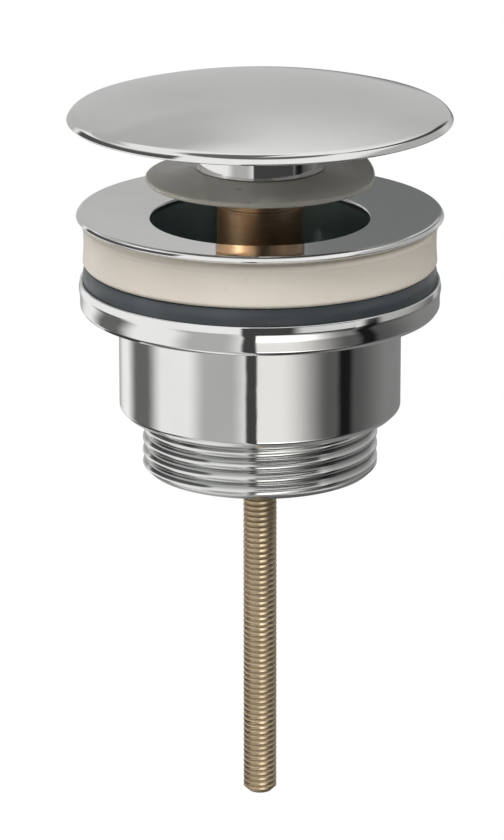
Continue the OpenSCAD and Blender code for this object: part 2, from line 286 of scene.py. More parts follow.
def cut_thread(obj: Piece, thread: Thread) -> None:
    """Presses a thread's groove into the crest surface of a turned piece.

    Args:
        obj: the turned piece.
        thread: the thread.
    """
    for vertex in obj.data.vertices:
        x, y, z = (c / MM for c in vertex.co)
        r = math.hypot(x, y)
        if thread.low <= z <= thread.high and abs(r - thread.crest_r) < CREST_REACH:
            share = 1.0 - thread.sink(x, y, z) / r
            vertex.co.x *= share
            vertex.co.y *= share


def shade_thread(obj: Piece, thread: Thread) -> None:
    """Lets the light follow the thread's true helix instead of the rings of its mesh.

    Args:
        obj: the threaded piece.
        thread: its thread.
    """
    mesh = obj.data
    low, high = thread.low + THREAD_MARGIN, thread.high - THREAD_MARGIN
    normals = [corner.vector.copy() for corner in mesh.corner_normals]
    for loop in mesh.loops:
        x, y, z = (c / MM for c in mesh.vertices[loop.vertex_index].co)
        sunk = thread.crest_r - math.hypot(x, y)
        if low < z < high and -THREAD_MARGIN < sunk < thread.depth + THREAD_MARGIN:
            normals[loop.index] = thread.normal(x, y, z)
    mesh.normals_split_custom_set(normals)


def arm(inner: float, outer: float, low: float, high: float, turn: float) -> Piece:
    """Bar with softened edges that points outwards from the axis.

    Args:
        inner: radius at which the bar starts.
        outer: radius at which it ends.
        low: height of its underside.
        high: height of its top.
        turn: angle about the axis, in degrees.

    Returns:
        The bar.
    """
    clear_selection()
    centre = ((inner + outer) / 2 * MM, 0, (low + high) / 2 * MM)
    size = ((outer - inner) * MM, ARM_WIDTH * MM, (high - low) * MM)
    bpy.ops.mesh.primitive_cube_add(size=1.0, location=centre, scale=size)
    obj = bpy.context.object
    bpy.ops.object.transform_apply(location=True, rotation=True, scale=True)
    bpy.ops.object.mode_set(mode="EDIT")
    bpy.ops.mesh.select_all(action="SELECT")
    bpy.ops.mesh.bevel(offset=ARM_SOFT * MM, segments=3, affect="EDGES")
    bpy.ops.transform.rotate(value=math.radians(turn), orient_axis="Z", center_override=(0, 0, 0))
    bpy.ops.mesh.normals_make_consistent(inside=False)
    bpy.ops.object.mode_set(mode="OBJECT")
    return obj


def spider(inner: float, outer: float, low: float, high: float) -> list[Piece]:
    """The four arms on the diagonals that carry a hub."""
    return [arm(inner, outer, low, high, 45.0 + 90.0 * i) for i in range(4)]


def hub(name: str, hole_r: float, outer_r: float, low: float, high: float) -> Piece:
    """Turns the round hub in the middle of a spider.

    Args:
        name: name of the hub.
        hole_r: radius of the rod's hole.
        outer_r: radius of the hub.
        low: height of its underside.
        high: height of its top.

    Returns:
        The hub.
    """
    outline = [
        Corner(hole_r, low, 0.3),
        Corner(outer_r, low, 0.4),
        Corner(outer_r, high, 0.3),
        Corner(hole_r, high, 0.3),
    ]
    return Lathe(name, outline, steps=96).spin()


def weld(main_piece: Piece, *others: Piece) -> Piece:
    """Joins cast-on forms into the main piece.

    Args:
        main_piece: the piece that stays.
        others: the forms that become part of it.

    Returns:
        The main piece.
    """
    pick(main_piece)
    for other in others:
        other.select_set(True)
    bpy.ops.object.join()
    return main_piece


def polish(obj: Piece, angle: float = 35.0) -> Piece:
    """Smooths the shading up to an angle and lets the large faces rule the normals.

    Args:
        obj: the piece.
        angle: sharpest angle between faces that is smoothed, in degrees.

    Returns:
        The piece.
    """
    pick(obj)
    bpy.ops.object.shade_smooth_by_angle(angle=math.radians(angle))
    bpy.ops.object.modifier_add(type="WEIGHTED_NORMAL")
    modifier = obj.modifiers[-1]
    modifier.keep_sharp = True
    modifier.weight = FACE_WEIGHT
    bpy.ops.object.modifier_apply(modifier=modifier.name)
    return obj


# Node graphs and finishes


class Graph:
    """Node tree under construction, with short calls that add and join its nodes."""

    def __init__(self, tree: bpy.types.NodeTree) -> None:
        """Keeps the tree."""
        self.tree = tree

    def add(self, kind: str, **values: object) -> bpy.types.Node:
        """Adds a node and sets its properties.

        Args:
            kind: the node's type, without ShaderNode in front.
            values: its properties by name.

        Returns:
            The node.
        """
        node = self.tree.nodes.new(kind if kind.startswith("NodeGroup") else "ShaderNode" + kind)
        for key, value in values.items():
            setattr(node, key, value)
        return node

    def feed(self, socket: Socket, value: object) -> None:
        """Links a socket to another one, or sets its plain value.

        Args:
            socket: the socket to feed.
            value: a socket, a number, or three numbers, which a colour's socket takes as opaque.
        """
        if isinstance(value, bpy.types.NodeSocket):
            self.tree.links.new(value, socket)
        elif isinstance(value, tuple) and len(value) == 3 and socket.type == "RGBA":
            socket.default_value = (*value, 1.0)
        else:
            socket.default_value = value

    def math(self, operation: str, *values: object) -> Socket:
        """Adds a math node.

        Args:
            operation: what it does.
            values: sockets or numbers that it works on.

        Returns:
            Its result.
        """
        node = self.add("Math", operation=operation)
        for socket, value in zip(node.inputs, values):
            self.feed(socket, value)
        return node.outputs[0]

    def object_place(self) -> Socket:
        """Object coordinates of the point that is shaded."""
        return self.add("TexCoord").outputs["Object"]

    def split(self, place: Socket) -> list[Socket]:
        """Takes a place apart.

        Args:
            place: the place.

        Returns:
            Its X, Y and Z.
        """
        node = self.add("SeparateXYZ")
        self.feed(node.inputs[0], place)
        return list(node.outputs)

    def product(self, *values: Socket) -> Socket:
        """Multiplies shares with each other.

        Args:
            values: the shares.

        Returns:
            Their product.
        """
        total = values[0]
        for value in values[1:]:
            total = self.math("MULTIPLY", total, value)
        return total

    def spread(self, value: Socket, low: float, high: float, to_low: float = 0.0,
               to_high: float = 1.0, smooth: bool = False) -> Socket:
        """Maps a value from one span onto another, clamped at its ends.

        Args:
            value: the value.
            low: where its span starts.
            high: where it ends.
            to_low: result at the start.
            to_high: result at the end.
            smooth: eases in and out instead of going straight.

        Returns:
            The mapped value.
        """
        node = self.add("MapRange", interpolation_type="SMOOTHSTEP" if smooth else "LINEAR")
        for socket, number in zip(node.inputs, (value, low, high, to_low, to_high)):
            self.feed(socket, number)
        return node.outputs[0]

    def edge(self, value: Socket, span: Span, unit: float = MM, smooth: bool = False) -> Socket:
        """Share that goes from none at the first end of a span to one at its other end."""
        return self.spread(value, span[0] * unit, span[1] * unit, smooth=smooth)

    def band(self, value: Socket, low: float, high: float, soft: float) -> Socket:
        """Share that is one between two limits and fades out over their soft edges.

        Args:
            value: the value to test.
            low: lower limit.
            high: upper limit.
            soft: width of the fade at each limit.

        Returns:
            The share.
        """
        rising = self.spread(value, low - soft / 2, low + soft / 2, smooth=True)
        falling = self.spread(value, high + soft / 2, high - soft / 2, smooth=True)
        return self.product(rising, falling)

    def noise(self, place: Socket, scale: object, detail: float) -> Socket:
        """Adds a noise texture.

        Args:
            place: where it is read.
            scale: its scale, as a number or a socket.
            detail: how many finer layers it has.

        Returns:
            Its value.
        """
        node = self.add("TexNoise")
        self.feed(node.inputs["Vector"], place)
        self.feed(node.inputs["Scale"], scale)
        self.feed(node.inputs["Detail"], detail)
        return node.outputs[0]

    def blend(self, share: Socket, first: object, second: object) -> Socket:
        """Mixes two colours.

        Args:
            share: share of the second colour.
            first: colour or socket where the share is none.
            second: colour or socket where the share is one.

        Returns:
            The mixed colour.
        """
        node = self.add("Mix", data_type="RGBA")
        factor, first_in, second_in = node.inputs[0], node.inputs[6], node.inputs[7]
        self.feed(factor, share)
        self.feed(first_in, first)
        self.feed(second_in, second)
        return node.outputs[2]

    def show(self, first: Socket, second: Socket) -> Socket:
        """Shows a mix of two shaders as the material's surface.

        Args:
            first: shader where the share is none.
            second: shader where the share is one.

        Returns:
            The socket of the share.
        """
        mix = self.add("MixShader")
        self.feed(mix.inputs[1], first)
        self.feed(mix.inputs[2], second)
        self.feed(self.tree.nodes["Material Output"].inputs["Surface"], mix.outputs[0])
        return mix.inputs[0]


class Effects:
    """Node groups that several finishes share, each built once."""

    line_drift: float = 3.0
    line_detail: float = 3.0
    patch_detail: float = 3.0
    patch_span: Span = (0.3, 0.7)
    speck_ratio: float = 14.0
    speck_detail: float = 2.0
    speck_span: Span = (0.62, 0.78)
    coarse_detail: float = 2.0
    fine_ratio: float = 4.3
    fine_detail: float = 1.0
    fine_share: float = 0.35

    def __init__(self) -> None:
        """Builds the groups."""
        self.round_place = self._round_place()
        self.turning = self._turning()
        self.mottle = self._mottle()
        self.grain = self._grain()

    @staticmethod
    def _new(name: str, outputs: list[str], scaled: bool = True) -> tuple[Graph, Sockets, Sockets]:
        """Starts a group.

        Args:
            name: name of the group.
            outputs: names of its value outputs.
            scaled: gives it an input for its scale beside the place.

        Returns:
            Its graph, its input sockets and its output sockets by name.
        """
        inputs = {"Place": "NodeSocketVector"}
        if scaled:
            inputs["Per metre"] = "NodeSocketFloat"
        tree = bpy.data.node_groups.new(name, "ShaderNodeTree")
        for label, kind in inputs.items():
            tree.interface.new_socket(name=label, in_out="INPUT", socket_type=kind)
        for label in outputs:
            tree.interface.new_socket(name=label, in_out="OUTPUT", socket_type="NodeSocketFloat")
        graph = Graph(tree)
        given = graph.add("NodeGroupInput").outputs
        result = graph.add("NodeGroupOutput").inputs
        return graph, {k: given[k] for k in inputs}, {k: result[k] for k in outputs}

    def _round_place(self) -> bpy.types.NodeTree:
        """Radius, height and share of the turn of a place about the axis.

        Returns:
            The group.
        """
        graph, given, result = self._new("round_place", ["Radius", "Height", "Turn"], scaled=False)
        x, y, z = graph.split(given["Place"])
        square = graph.math("ADD", graph.math("MULTIPLY", x, x), graph.math("MULTIPLY", y, y))
        graph.feed(result["Radius"], graph.math("SQRT", square))
        graph.feed(result["Height"], z)
        turn = graph.math("DIVIDE", graph.math("ARCTAN2", y, x), math.tau)
        graph.feed(result["Turn"], graph.math("ADD", turn, 0.5))
        return graph.tree

    def _turning(self) -> bpy.types.NodeTree:
        """Fine lines that a cutting tool leaves round a turned surface.

        Returns:
            The group.
        """
        graph, given, result = self._new("turning_marks", ["Marks"])
        place = graph.add("Group", node_tree=self.round_place)
        graph.feed(place.inputs["Place"], given["Place"])
        lines = graph.add("CombineXYZ")
        for i, label in enumerate(("Radius", "Height")):
            graph.feed(lines.inputs[i], graph.math("MULTIPLY", place.outputs[label], given["Per metre"]))
        graph.feed(lines.inputs[2], graph.math("MULTIPLY", place.outputs["Turn"], self.line_drift))
        graph.feed(result["Marks"], graph.noise(lines.outputs[0], 1.0, self.line_detail))
        return graph.tree

    def _mottle(self) -> bpy.types.NodeTree:
        """Soft uneven patches, as of smudges, tarnish or colour in a moulding, and fine specks.

        Returns:
            The group.
        """
        graph, given, result = self._new("mottle", ["Patches", "Specks"])
        broad = graph.noise(given["Place"], given["Per metre"], self.patch_detail)
        graph.feed(result["Patches"], graph.edge(broad, self.patch_span, unit=1.0, smooth=True))
        finer = graph.math("MULTIPLY", given["Per metre"], self.speck_ratio)
        fine = graph.noise(given["Place"], finer, self.speck_detail)
        graph.feed(result["Specks"], graph.edge(fine, self.speck_span, unit=1.0))
        return graph.tree

    def _grain(self) -> bpy.types.NodeTree:
        """Fine relief of a moulded or plated surface.

        Returns:
            The group.
        """
        graph, given, result = self._new("moulded_grain", ["Relief"])
        coarse = graph.noise(given["Place"], given["Per metre"], self.coarse_detail)
        finer = graph.math("MULTIPLY", given["Per metre"], self.fine_ratio)
        fine = graph.noise(given["Place"], finer, self.fine_detail)
        graph.feed(result["Relief"], graph.math("MULTIPLY_ADD", fine, self.fine_share, coarse))
        return graph.tree


EFFECTS = Effects()


class Paint(Graph):
    """Material under construction: a principled shader and the place on the piece."""

    def __init__(self, name: str) -> None:
        """Starts a material.

        Args:
            name: name of the material.
        """
        self.material = bpy.data.materials.new(name)
        self.material.use_nodes = True
        super().__init__(self.material.node_tree)
        self.shader = self.tree.nodes["Principled BSDF"]
        self.place = self.object_place()

    def effect(self, group: bpy.types.NodeTree, per_metre: float | None = None) -> Sockets:
        """Places a shared effect.

        Args:
            group: the effect's node group.
            per_metre: its scale, where it has one.

        Returns:
            Its outputs by name.
        """
        node = self.add("Group", node_tree=group)
        self.feed(node.inputs["Place"], self.place)
        if per_metre is not None:
            self.feed(node.inputs["Per metre"], per_metre)
        return {socket.name: socket for socket in node.outputs}

    def set(self, **values: object) -> None:
        """Feeds shader inputs, named with underscores for spaces."""
        for key, value in values.items():
            self.feed(self.shader.inputs[key.replace("_", " ")], value)

    def roughen(self, base: float, *parts: tuple[Socket, float]) -> None:
        """Feeds the roughness.

        Args:
            base: roughness where no mask adds to it.
            parts: masks, each with what it adds.
        """
        total = base
        for mask, amount in parts:
            total = self.math("MULTIPLY_ADD", mask, amount, total)
        self.set(Roughness=total)

    def relief(self, height: Socket, strength: float, depth: float) -> None:
        """Feeds a height into the shader's normal through a bump.

        Args:
            height: the height.
            strength: how strongly it shows.
            depth: depth of the relief, in millimetres.
        """
        bump = self.add("Bump")
        self.feed(bump.inputs["Strength"], strength)
        self.feed(bump.inputs["Distance"], depth * MM)
        self.feed(bump.inputs["Height"], height)
        self.feed(self.shader.inputs["Normal"], bump.outputs[0])


@dataclass(frozen=True)
class ChromePlate:
    """Bright chrome plate: smudged and slightly rippled, satin on the thread, duller in the bore. The
    darker bore tint is partly painted shade, and the dark thread roots are painted shade.

    The spans are radii and heights between which the plate changes from one state to the other.
    """

    name: str = "chrome_plate"
    bright: Colour = (0.80, 0.795, 0.785)
    smudged: Colour = (0.755, 0.755, 0.745)
    smudges_per_metre: float = 55.0
    lines_per_metre: float = 2600.0
    gloss: float = 0.03
    haze: float = 0.03
    line_haze: float = 0.015
    ripple: float = 0.03
    ripple_depth: float = 1.0
    ripples_per_metre: float = 70.0
    bore_edge: Span = (19.7, 19.5)
    bore_top: Span = (-0.6, -1.2)
    # Darker teal tint inside the bore: partly duller inner plating, partly painted shade of the deep
    # bore.
    inner: Colour = (0.54, 0.64, 0.64)
    inner_haze: float = 0.27
    thread_inside: Span = (19.8, 19.9)
    thread_top: Span = (-35.2, -35.4)
    thread_crest_span: Span = (20.5, 20.95)
    crest: Colour = (0.72, 0.725, 0.71)
    # Dark root colour: painted shade in the thread's grooves.
    shaded_root: Colour = (0.34, 0.35, 0.34)
    thread_haze: float = 0.1

    def material(self) -> bpy.types.Material:
        """Builds the material.

        Returns:
            The material.
        """
        paint = Paint(self.name)
        mottle = paint.effect(EFFECTS.mottle, self.smudges_per_metre)
        lines = paint.effect(EFFECTS.turning, self.lines_per_metre)["Marks"]
        place = paint.effect(EFFECTS.round_place)
        radius, height = place["Radius"], place["Height"]
        inside = paint.product(paint.edge(radius, self.bore_edge), paint.edge(height, self.bore_top))
        threaded = paint.product(paint.edge(radius, self.thread_inside),
                                 paint.edge(height, self.thread_top))
        crest_share = paint.edge(radius, self.thread_crest_span, smooth=True)
        plate = paint.blend(mottle["Patches"], self.bright, self.smudged)
        # The thread's roots take the painted shade colour and its crests a plain plate colour.
        plate = paint.blend(threaded, plate, paint.blend(crest_share, self.shaded_root, self.crest))
        # Inside the bore the plate turns to the darker tint, which is partly painted shade.
        paint.set(Base_Color=paint.blend(inside, plate, self.inner), Metallic=1.0)
        paint.roughen(self.gloss, (mottle["Patches"], self.haze), (mottle["Specks"], self.haze),
                      (lines, self.line_haze), (threaded, self.thread_haze), (inside, self.inner_haze))
        ripple = paint.effect(EFFECTS.grain, self.ripples_per_metre)["Relief"]
        paint.relief(ripple, self.ripple, self.ripple_depth)
        return paint.material


@dataclass(frozen=True)
class TurnedBrass:
    """Turned brass that has dulled in patches, with the tool's lines round it."""

    name: str = "bare_brass"
    fresh: Colour = (0.58, 0.35, 0.185)
    dull: Colour = (0.225, 0.175, 0.125)
    patches_per_metre: float = 130.0
    lines_per_metre: float = 3200.0
    line_span: Span = (0.3, 0.7)
    least_age: float = 0.55
    gloss: float = 0.28
    tarnish: float = 0.1
    line_relief: float = 0.12
    line_depth: float = 0.1

    def material(self) -> bpy.types.Material:
        """Builds the material.

        Returns:
            The material.
        """
        paint = Paint(self.name)
        patches = paint.effect(EFFECTS.mottle, self.patches_per_metre)["Patches"]
        marks = paint.effect(EFFECTS.turning, self.lines_per_metre)["Marks"]
        age = paint.product(patches, paint.spread(marks, *self.line_span, self.least_age, 1.0))
        paint.set(Base_Color=paint.blend(age, self.fresh, self.dull), Metallic=1.0)
        paint.roughen(self.gloss, (age, self.tarnish))
        paint.relief(marks, self.line_relief, self.line_depth)
        return paint.material


@dataclass(frozen=True)
class RolledRod:
    """Pale dull brass of the rod: bright, smoother crests over thread roots darkened with painted shade.
    """

    name: str = "rod_brass"
    crest: Colour = (0.66, 0.535, 0.37)
    # Dark root colour: painted shade in the thread's grooves.
    shaded_root: Colour = (0.40, 0.31, 0.20)
    spot: Colour = (0.57, 0.455, 0.305)
    crest_span: Span = (2.7, 2.95)
    spots_per_metre: float = 160.0
    root_rough: float = 0.43
    crest_polish: float = -0.18
    spot_haze: float = 0.12
    grain_per_metre: float = 2400.0
    grain: float = 0.1
    grain_depth: float = 0.06

    def material(self) -> bpy.types.Material:
        """Builds the material.

        Returns:
            The material.
        """
        paint = Paint(self.name)
        crest_share = paint.edge(paint.effect(EFFECTS.round_place)["Radius"], self.crest_span, smooth=True)
        spots = paint.effect(EFFECTS.mottle, self.spots_per_metre)["Patches"]
        metal = paint.blend(spots, self.crest, self.spot)
        # The thread's roots take the painted shade colour. The lower roughness on the crests is real
        # polish from wear.
        paint.set(Base_Color=paint.blend(crest_share, self.shaded_root, metal), Metallic=1.0)
        paint.roughen(self.root_rough, (spots, self.spot_haze), (crest_share, self.crest_polish))
        relief = paint.effect(EFFECTS.grain, self.grain_per_metre)["Relief"]
        paint.relief(relief, self.grain, self.grain_depth)
        return paint.material


@dataclass(frozen=True)
class Moulded:
    """Moulded rubber or plastic: uneven tone, fine grain and a few dust specks."""

    name: str
    tone: Colour
    shade: Colour
    speck: Colour
    rough: float
    patch_rough: float
    grain_per_metre: float
    grain_depth: float
    patches_per_metre: float = 70.0
    glow: float = 0.0
    grain: float = 0.25
    glow_reach: Colour = (1.0, 0.8, 0.55)
    glow_depth: float = 1.5

    def material(self) -> bpy.types.Material:
        """Builds the material.

        Returns:
            The material.
        """
        paint = Paint(self.name)
        mottle = paint.effect(EFFECTS.mottle, self.patches_per_metre)
        body = paint.blend(mottle["Patches"], self.tone, self.shade)
        paint.set(Base_Color=paint.blend(mottle["Specks"], body, self.speck))
        paint.roughen(self.rough, (mottle["Patches"], self.patch_rough))
        relief = paint.effect(EFFECTS.grain, self.grain_per_metre)["Relief"]
        paint.relief(relief, self.grain, self.grain_depth)
        if self.glow > 0:
            paint.set(Subsurface_Weight=self.glow, Subsurface_Radius=self.glow_reach,
                      Subsurface_Scale=self.glow_depth * MM)
        return paint.material


@dataclass(frozen=True)
class DrawnSteel:
    """Bright steel with the fine lines of drawing and pressing."""

    name: str = "spring_steel"
    bright: Colour = (0.62, 0.63, 0.64)
    dull: Colour = (0.46, 0.46, 0.46)
    patches_per_metre: float = 220.0
    lines_per_metre: float = 5200.0
    gloss: float = 0.22
    line_haze: float = 0.2
    line_relief: float = 0.1
    line_depth: float = 0.05

    def material(self) -> bpy.types.Material:
        """Builds the material.

        Returns:
            The material.
        """
        paint = Paint(self.name)
        marks = paint.effect(EFFECTS.turning, self.lines_per_metre)["Marks"]
        patches = paint.effect(EFFECTS.mottle, self.patches_per_metre)["Patches"]
        paint.set(Base_Color=paint.blend(patches, self.bright, self.dull), Metallic=1.0)
        paint.roughen(self.gloss, (marks, self.line_haze))
        paint.relief(marks, self.line_relief, self.line_depth)
        return paint.material


class FinishRack:
    """Finishes by slot, each material made once."""

    def __init__(self) -> None:
        """Builds every finish."""
        recipes = {
            Slot.CHROME: ChromePlate(),
            Slot.BRASS: TurnedBrass(),
            Slot.ROD: RolledRod(),
            Slot.SILICONE: Moulded(
                "grey_silicone", (0.44, 0.425, 0.38), (0.38, 0.37, 0.33), (0.47, 0.46, 0.41),
                rough=0.26, patch_rough=0.1, grain_per_metre=2600.0, grain_depth=0.04, glow=0.7),
            Slot.MILKY: Moulded(
                "milky_seal", (0.64, 0.59, 0.51), (0.59, 0.54, 0.465), (0.60, 0.55, 0.47),
                rough=0.36, patch_rough=0.14, grain_per_metre=1500.0, grain_depth=0.04,
                patches_per_metre=45.0, glow=0.25),
            Slot.RUBBER: Moulded(
                "black_rubber", (0.040, 0.047, 0.052), (0.030, 0.036, 0.040), (0.05, 0.057, 0.06),
                rough=0.25, patch_rough=0.16, grain_per_metre=3000.0, grain_depth=0.05,
                patches_per_metre=110.0),
            Slot.ACETAL: Moulded(
                "acetal", (0.80, 0.80, 0.765), (0.74, 0.74, 0.70), (0.62, 0.61, 0.56),
                rough=0.3, patch_rough=0.1, grain_per_metre=2000.0, grain_depth=0.03),
            Slot.STEEL: DrawnSteel(),
        }
        self.materials = {slot: recipe.material() for slot, recipe in recipes.items()}

    def dress(self, obj: Piece, slot: Slot) -> None:
        """Gives a piece or a CAD node its finish.

        Args:
            obj: the piece or node.
            slot: the record's material slot.
        """
        material = self.materials[slot]
        if not obj.material_slots:
            obj.data.materials.append(material)
        for place in obj.material_slots:
            place.material = material

    def hang(self, obj: Piece, slot: Slot, body: Body, *nodes: str) -> Piece:
        """Dresses a new piece, puts it on its body and lets it stand for its CAD nodes.

        Args:
            obj: the finished piece.
            slot: the record's material slot.
            body: the body that it moves with.
            nodes: CAD nodes that it stands for.

        Returns:
            The piece.
        """
        obj.data.materials.clear()
        self.dress(obj, slot)
        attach(obj, body.value)
        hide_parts(*nodes)
        LOG.info("%s on %s in %s: %d faces", obj.name, body.value, slot.value, len(obj.data.polygons))
        return obj

    def keep(self, node: str, slot: Slot) -> None:
        """Keeps a CAD node's shape and gives it a finish."""
        self.dress(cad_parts[node], slot)
        LOG.info("%s keeps its solid in %s", node, slot.value)


# Sub-assemblies


@dataclass
class Plug:
    """Domed cap with its boss, umbrella seal and ring nut, and the stem with its cross pin."""

    cap_r: float = 34.1
    edge_r: float = 33.15
    cap_z: float = 17.739
    edge_z: float = 19.189
    dome_h: float = 5.045
    dome_steps: int = 30
    wall: float = 2.6
    hollow_steps: int = 12
    boss_r: float = 11.5
    boss_z: float = 9.189
    neck_r: float = 9.6
    neck_in_r: float = 8.1
    neck_z: float = 5.739
    neck_roof_z: float = 10.8
    stem_hole_r: float = 3.05
    seal_hole_r: float = 9.65
    seal_gap: float = 0.05
    seal_t: float = 2.2
    clamp_r: float = 11.0
    under_r: float = 15.6
    under_lift: float = 0.28
    crown_r: float = 15.8
    crown_lift: float = 0.62
    lip_r: float = 20.2
    lip_z: float = 6.689
    lip_flat: float = 0.9
    lip_edge_h: float = 0.9
    curl: float = 2.0
    curl_turn: float = 35.0
    curl_reach: float = 50.0

    def build(self, rack: FinishRack) -> None:
        """Models and dresses the plug's pieces.

        Args:
            rack: the finishes.
        """
        rack.hang(self.cap(), Slot.CHROME, Body.PLUG, "plug_cap")
        rack.hang(self.seal(), Slot.SILICONE, Body.PLUG, "plug_seal")
        rack.keep("seal_ring_nut", Slot.BRASS)
        rack.keep("plunger_stem", Slot.BRASS)
        rack.keep("cross_pin", Slot.STEEL)

    def cap(self) -> Piece:
        """Turns the domed cap in one with its boss and hollow neck.

        Returns:
            The cap.
        """
        dome_r = (self.edge_r ** 2 + self.dome_h ** 2) / (2 * self.dome_h)
        centre_z = self.edge_z + self.dome_h - dome_r
        inner_r = dome_r - self.wall
        meet_r = math.sqrt(inner_r ** 2 - (self.cap_z - centre_z) ** 2)
        dome = arc_corners(dome_r, centre_z, 0.0, self.edge_r, self.dome_steps)
        hollow = arc_corners(inner_r, centre_z, meet_r, self.boss_r, self.hollow_steps)
        outline = dome[:-1] + [
            Corner(self.edge_r, self.edge_z, 0.7),
            Corner(self.cap_r, self.cap_z, 0.38),
        ] + hollow[:-1] + [
            Corner(self.boss_r, hollow[-1].z, 0.5),
            Corner(self.boss_r, self.boss_z, 0.25),
            Corner(self.neck_r, self.boss_z),
            Corner(self.neck_r, self.neck_z, 0.2),
            Corner(self.neck_in_r, self.neck_z, 0.2),
            Corner(self.neck_in_r, self.neck_roof_z, 0.4),
            Corner(self.stem_hole_r, self.neck_roof_z, 0.15),
            Corner(self.stem_hole_r, self.cap_z),
            Corner(0.0, self.cap_z),
        ]
        return polish(Lathe("domed_cap", outline, steps=256).spin())

    def seal(self) -> Piece:
        """Turns the umbrella seal with its soft lip and slightly hollow top.

        Returns:
            The seal.
        """
        clamp_z = self.boss_z - self.seal_t
        seat_z = self.boss_z - self.seal_gap
        top_z = self.lip_z + self.lip_edge_h
        outline = [
            Corner(self.seal_hole_r, clamp_z, 0.15),
            Corner(self.clamp_r, clamp_z, 0.3),
            Corner(self.under_r, self.lip_z + self.under_lift, 0.8),
            Corner(self.lip_r - self.lip_flat, self.lip_z, 0.4),
            Corner(self.lip_r, self.lip_z, 0.3),
            Corner(self.lip_r, top_z, 0.4),
            Corner(self.crown_r, top_z + self.crown_lift, 1.6),
            Corner(self.boss_r, seat_z, 0.2),
            Corner(self.seal_hole_r, seat_z, 0.1),
        ]
        piece = Lathe("umbrella_seal", outline, rounds=5).spin()
        self.curl_lip(piece)
        return polish(piece, angle=60.0)

    def curl_lip(self, piece: Piece) -> None:
        """Lifts the soft lip a little at the right back.

        Args:
            piece: the seal.
        """
        for vertex in piece.data.vertices:
            x, y = vertex.co.x / MM, vertex.co.y / MM
            out = max(0.0, (math.hypot(x, y) - self.boss_r) / (self.lip_r - self.boss_r))
            off = abs(math.degrees(math.atan2(y, x)) - self.curl_turn) / self.curl_reach
            vertex.co.z += self.curl * MM * out ** 2 * math.cos(math.pi / 2 * min(1.0, off)) ** 2


